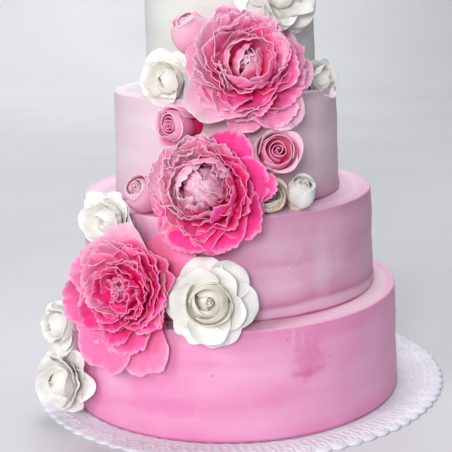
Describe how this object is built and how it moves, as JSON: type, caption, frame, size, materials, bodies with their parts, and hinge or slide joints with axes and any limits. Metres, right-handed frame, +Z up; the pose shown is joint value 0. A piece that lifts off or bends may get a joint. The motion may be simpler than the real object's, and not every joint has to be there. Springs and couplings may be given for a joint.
{
  "type": "tiered wedding cake",
  "caption": "Tiered round wedding cake, strong pink at its foot fading to white at its top, with sugar peonies, roses and buds climbing its front, on a scalloped card.",
  "frame": {"origin": "middle of the cake card's flat underside", "axes": "+Z up, -Y the front that the flowers climb, +X to the right of someone who faces the front"},
  "size_m": [0.3816, 0.3816, 0.3898],
  "materials": {
    "card": "embossed white card with a pale lavender cast",
    "icing_pink": "smoothed buttercream, strong pink",
    "icing_mauve": "smoothed buttercream, mauve pink",
    "icing_blush": "smoothed buttercream, very pale pink",
    "icing_white": "smoothed buttercream, off-white",
    "sugar_hot_pink": "matt sugar paste, hot pink with paler rims",
    "sugar_mid_pink": "matt sugar paste, mid pink with paler rims",
    "sugar_dusty_pink": "matt sugar paste, dusty pink",
    "sugar_white": "matt sugar paste, white with cream folds"
  },
  "bodies": {
    "root": {"cake_card": "card", "tier_1": "icing_pink", "tier_2": "icing_mauve", "tier_3": "icing_blush", "tier_4": "icing_white", "peony_lower": "sugar_hot_pink", "peony_middle": "sugar_hot_pink", "peony_upper": "sugar_mid_pink", "rose_front": "sugar_white", "rose_top": "sugar_white", "rose_shoulder": "sugar_white", "rose_rim": "sugar_white", "rose_ledge": "sugar_white", "rose_low": "sugar_white", "rose_behind": "sugar_white", "bud_top": "sugar_dusty_pink", "bud_left": "sugar_dusty_pink", "bud_spiral": "sugar_mid_pink", "bud_right": "sugar_mid_pink", "bud_blush": "sugar_white", "bud_white": "sugar_white"}
  },
  "joints": []
}
